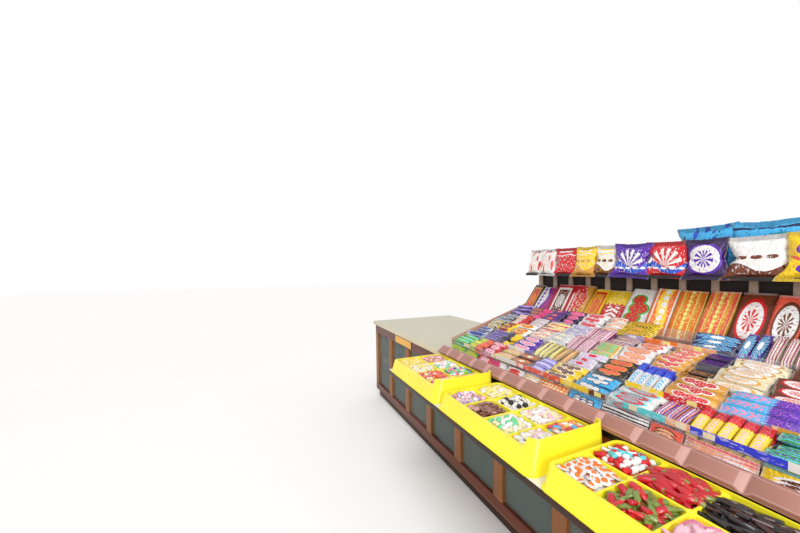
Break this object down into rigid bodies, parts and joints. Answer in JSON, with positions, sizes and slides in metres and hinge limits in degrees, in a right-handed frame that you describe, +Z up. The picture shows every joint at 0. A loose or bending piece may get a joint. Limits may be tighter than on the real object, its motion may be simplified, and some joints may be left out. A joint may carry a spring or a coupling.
{
  "type": "shop counter",
  "caption": "Wood-framed glazed shop counter with a ledge of open sweet trays, a chunky brown front moulding, a stepped packet display and a top shelf of bags.",
  "frame": {"origin": "on the floor under the middle of the whole piece", "axes": "+X along the counter towards its near end, -Y towards the customer, +Z up"},
  "size_m": [3.9, 1.4, 1.6923],
  "materials": {
    "brown_plastic": "milk-brown moulded",
    "clear_plastic": "clear acrylic",
    "dark_plastic": "black",
    "back_panel": "dark painted board",
    "carcass_wood": "satin stained",
    "rail_wood": "satin dark red-brown",
    "front_glass": "clear",
    "post_wood": "satin mid-brown",
    "ledge_top": "pale laminate over wood",
    "bracket_steel": "black painted",
    "ledge_edge": "dark brown edge",
    "riser_wood": "orange-brown satin",
    "packet_film": "printed film",
    "plinth_wood": "dark stained",
    "price_card": "printed in plain colours",
    "bag_film": "printed film",
    "step_plastic": "pinkish brown",
    "yellow_plastic": "bright yellow moulded",
    "sweets": "mixed sweets",
    "shelf_metal": "brown-grey painted",
    "worktop": "pale laminate over wood",
    "edge_band": "pale edge band"
  },
  "bodies": {
    "root": {"back_boards": "carcass_wood", "back_posts": "carcass_wood", "chunk_moulding": "brown_plastic", "clear_dividers": "clear_plastic", "clear_lips": "clear_plastic", "dark_edge_strip": "dark_plastic", "display_back": "back_panel", "display_end_panels": "step_plastic", "end_panels": "carcass_wood", "floor_board": "carcass_wood", "front_bottom_rail": "rail_wood", "front_glass": "front_glass", "front_posts": "post_wood", "front_top_rail": "rail_wood", "inner_partitions": "carcass_wood", "inner_shelves": "carcass_wood", "ledge_board": "ledge_top", "ledge_brackets": "bracket_steel", "ledge_edge_strip": "ledge_edge", "ledge_riser": "riser_wood", "packets_tier_1": "packet_film", "packets_tier_2": "packet_film", "packets_tier_3": "packet_film", "packets_tier_4": "packet_film", "packets_tier_5": "packet_film", "packets_tier_6": "packet_film", "plinth_cross_boards": "plinth_wood", "plinth_rails": "plinth_wood", "price_strips": "price_card", "shelf_bags": "bag_film", "shelf_cleats": "carcass_wood", "shelf_posts": "shelf_metal", "step_risers": "step_plastic", "step_stringers": "step_plastic", "step_treads": "step_plastic", "sweet_tray_1": "yellow_plastic", "sweet_tray_2": "yellow_plastic", "sweet_tray_3": "yellow_plastic", "sweets_1": "sweets", "sweets_2": "sweets", "sweets_3": "sweets", "top_shelf": "shelf_metal", "top_shelf_edge": "dark_plastic", "worktop": "worktop", "worktop_edge_band": "edge_band"}
  },
  "joints": []
}
